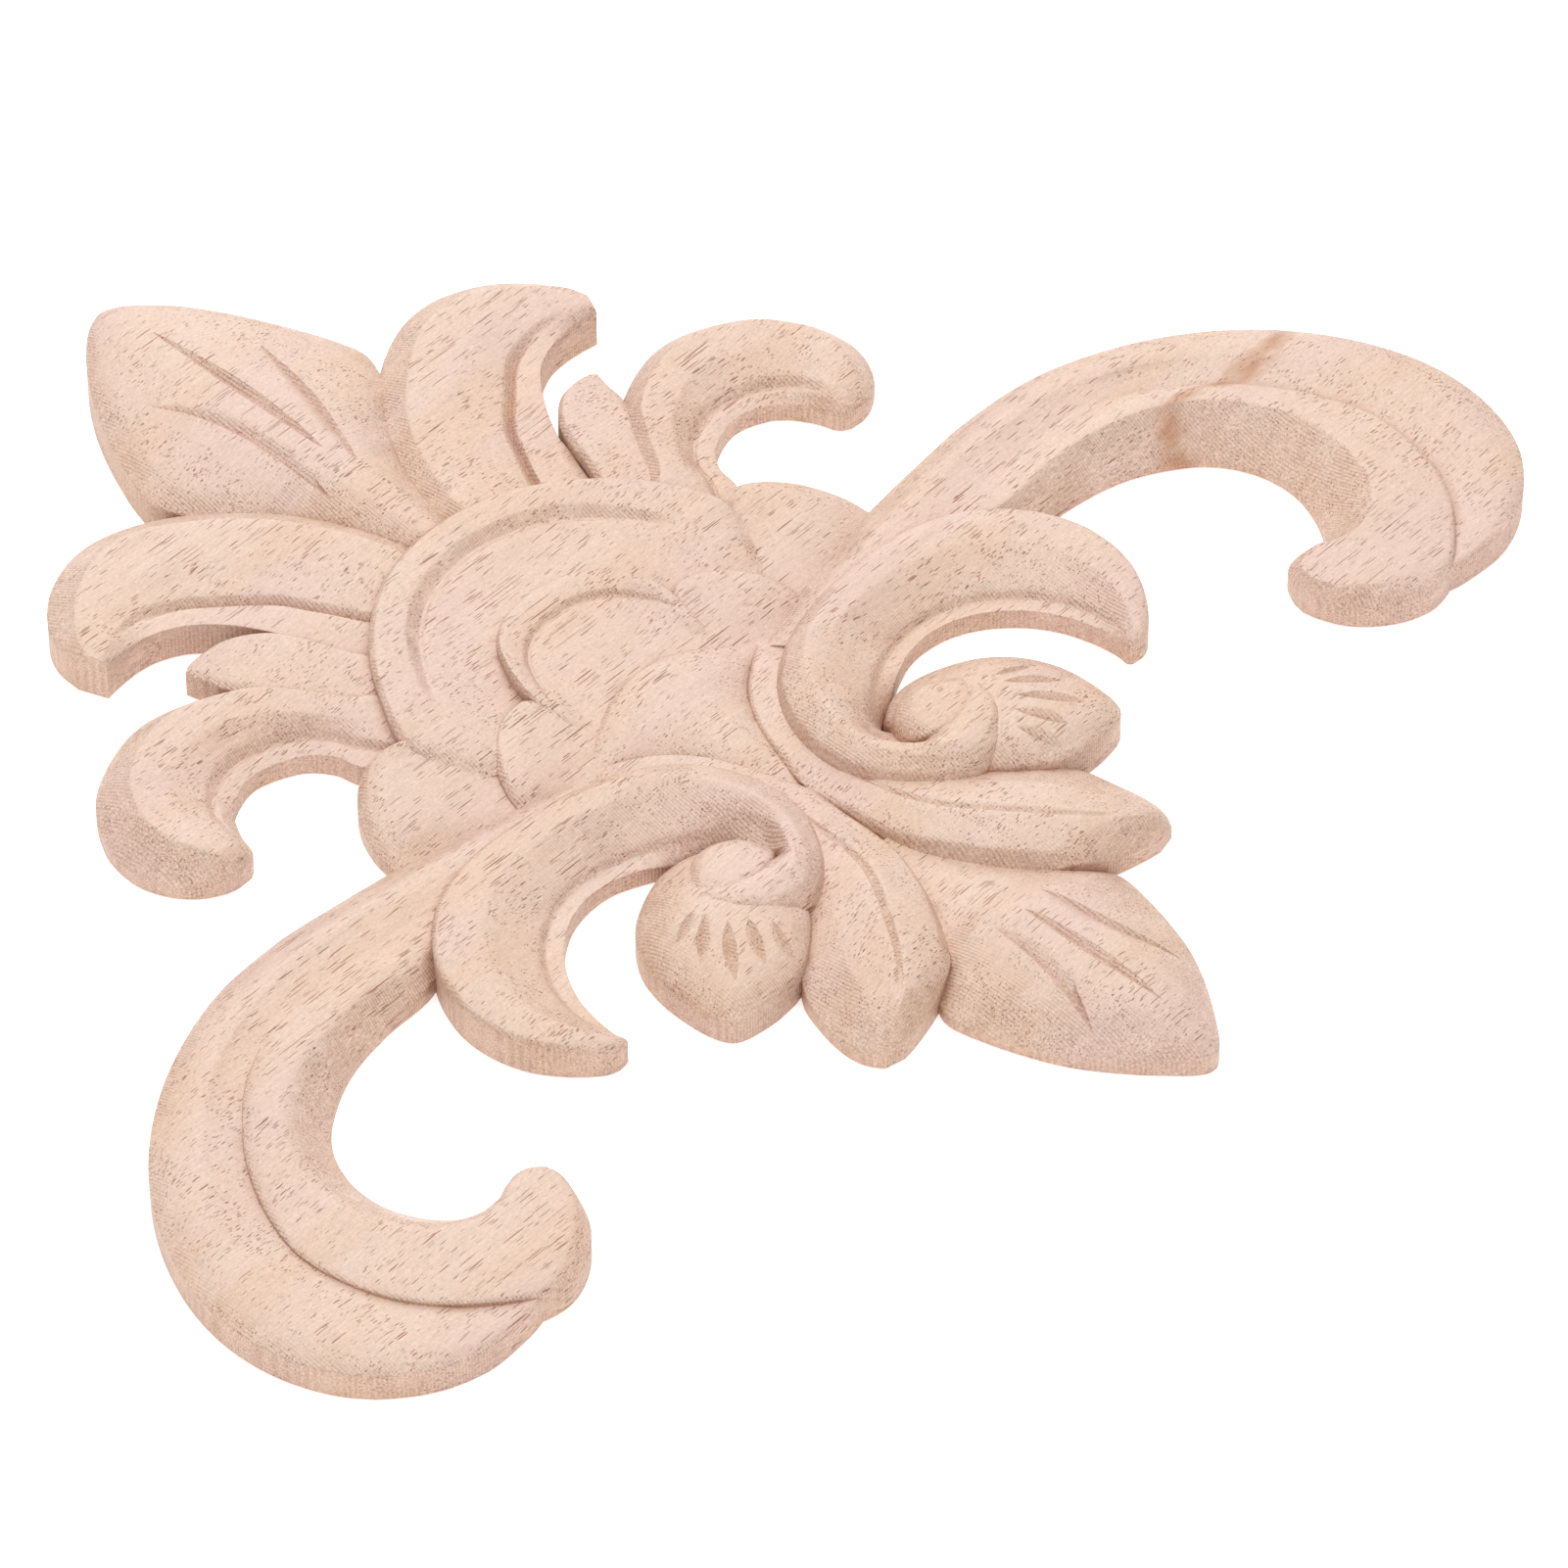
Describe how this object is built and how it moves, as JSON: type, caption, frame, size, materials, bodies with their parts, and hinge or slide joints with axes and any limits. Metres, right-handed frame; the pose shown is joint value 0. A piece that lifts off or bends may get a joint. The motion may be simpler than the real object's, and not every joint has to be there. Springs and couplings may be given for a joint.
{
  "type": "carved wood applique",
  "caption": "Flat-backed carved wood applique with a leaf at each end, curled acanthus leaves, a shell and two C-scroll wings, for gluing to furniture, doors or frames.",
  "frame": {"origin": "middle of the flat back, halfway between the two wings and halfway between the two leaf tips", "axes": "+X across the wings, +Y towards the upper leaf, +Z out of the flat back towards the viewer"},
  "size_m": [0.2342, 0.2, 0.0094],
  "materials": {
    "carved_wood": "bare sanded hardwood, pale pinkish tan, unpainted"
  },
  "bodies": {
    "root": {"applique": "carved_wood"}
  },
  "joints": []
}
